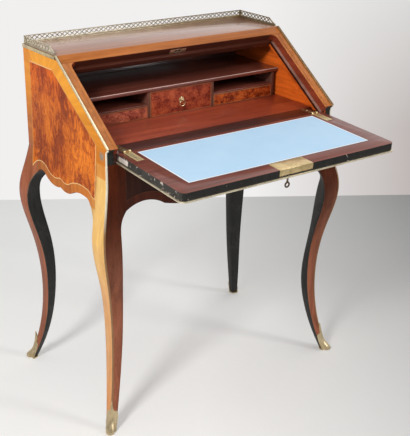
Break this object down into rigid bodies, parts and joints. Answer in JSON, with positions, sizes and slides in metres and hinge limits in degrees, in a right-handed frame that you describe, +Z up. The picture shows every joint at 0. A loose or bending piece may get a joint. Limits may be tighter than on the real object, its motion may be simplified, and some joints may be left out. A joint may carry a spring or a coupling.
{
  "type": "slant-front desk",
  "caption": "Slant-front writing desk on cabriole legs: fall front with leather inset, fitted interior of drawers and pigeonholes, brass gallery and mounts.",
  "frame": {"origin": "on the floor, under the middle of the desk's box with the fall open", "axes": "+X to the desk's right as seen from the front, +Y to the back, +Z up"},
  "size_m": [0.76, 0.708, 0.94],
  "materials": {
    "burl_veneer": "french polished burl",
    "leg_veneer": "french polished",
    "case_mahogany": "french polished",
    "back_wood": "plain sawn",
    "inner_mahogany": "satin",
    "drawer_veneer": "polished burl",
    "drawer_lining": "plain planed",
    "fall_mahogany": "french polished",
    "writing_leather": "fine grain",
    "gilt_brass": "aged polish",
    "steel": "dull"
  },
  "bodies": {
    "carcass": {"side_left": "burl_veneer", "side_right": "burl_veneer", "front_apron": "case_mahogany", "back_apron": "case_mahogany", "top_board": "case_mahogany", "back_panel": "back_wood", "floor_board": "inner_mahogany", "leg_front_left": "leg_veneer", "leg_front_right": "leg_veneer", "leg_rear_left": "leg_veneer", "leg_rear_right": "leg_veneer", "sabot_front_left": "gilt_brass", "sabot_front_right": "gilt_brass", "sabot_rear_left": "gilt_brass", "sabot_rear_right": "gilt_brass", "fillet_front_left": "gilt_brass", "fillet_front_right": "gilt_brass", "slant_top_rail": "case_mahogany", "strike_plate": "gilt_brass", "stile_left": "case_mahogany", "stile_right": "case_mahogany", "tier_shelf": "inner_mahogany", "fitment_ends": "inner_mahogany", "dividers": "inner_mahogany", "pigeonhole_shelves": "inner_mahogany", "hinge_left_floor_leaf": "gilt_brass", "hinge_right_floor_leaf": "gilt_brass", "hinge_pins": "gilt_brass", "hinge_floor_screws": "steel", "gallery_back": "gilt_brass", "gallery_left": "gilt_brass", "gallery_right": "gilt_brass", "slant_mouldings": "gilt_brass", "top_edge_mouldings": "gilt_brass"},
    "fall": {"fall_panel": "fall_mahogany", "fall_lip": "gilt_brass", "leather_inset": "writing_leather", "fall_edge_plates": "steel", "lock_case": "gilt_brass", "escutcheon": "gilt_brass", "hinge_left_fall_leaf": "gilt_brass", "hinge_right_fall_leaf": "gilt_brass", "hinge_fall_screws": "steel"},
    "drawer_left": {"drawer_left_front": "drawer_veneer", "drawer_left_sides": "drawer_lining", "drawer_left_back": "drawer_lining", "drawer_left_bottom": "drawer_lining"},
    "drawer_centre": {"drawer_centre_front": "drawer_veneer", "drawer_centre_sides": "drawer_lining", "drawer_centre_back": "drawer_lining", "drawer_centre_bottom": "drawer_lining", "pull_boss": "gilt_brass"},
    "drawer_right": {"drawer_right_front": "drawer_veneer", "drawer_right_sides": "drawer_lining", "drawer_right_back": "drawer_lining", "drawer_right_bottom": "drawer_lining"},
    "ring_pull": {"pull_ring": "gilt_brass"},
    "lock_bolt": {"lock_bolt": "gilt_brass"},
    "key": {"key": "steel"}
  },
  "joints": [
    {"name": "fall_hinge", "type": "hinge", "parent": "carcass", "child": "fall", "pos_m": [0, -0.08412, 0.73445], "axis": [-1, 0, 0], "range_deg": [0, 147.8]},
    {"name": "drawer_left_slide", "type": "slide", "parent": "carcass", "child": "drawer_left", "axis": [0, -1, 0], "range_m": [0, 0.12]},
    {"name": "drawer_centre_slide", "type": "slide", "parent": "carcass", "child": "drawer_centre", "axis": [0, -1, 0], "range_m": [0, 0.085]},
    {"name": "drawer_right_slide", "type": "slide", "parent": "carcass", "child": "drawer_right", "axis": [0, -1, 0], "range_m": [0, 0.12]},
    {"name": "ring_pull_swing", "type": "hinge", "parent": "drawer_centre", "child": "ring_pull", "pos_m": [0, 0.11096, 0.76874], "axis": [-1, 0, 0], "range_deg": [0, 85]},
    {"name": "key_turn", "type": "hinge", "parent": "fall", "child": "key", "pos_m": [0, -0.32346, 0.72233], "axis": [0, 0.0506, -0.9987], "range_deg": [0, 180]},
    {"name": "lock_bolt_slide", "type": "slide", "parent": "fall", "child": "lock_bolt", "axis": [0, -0.9987, -0.0506], "range_m": [0, 0.008]}
  ],
  "couplings": [
    {"joint": "lock_bolt_slide", "follows": "key_turn", "m_per_rad": 0.002546}
  ]
}
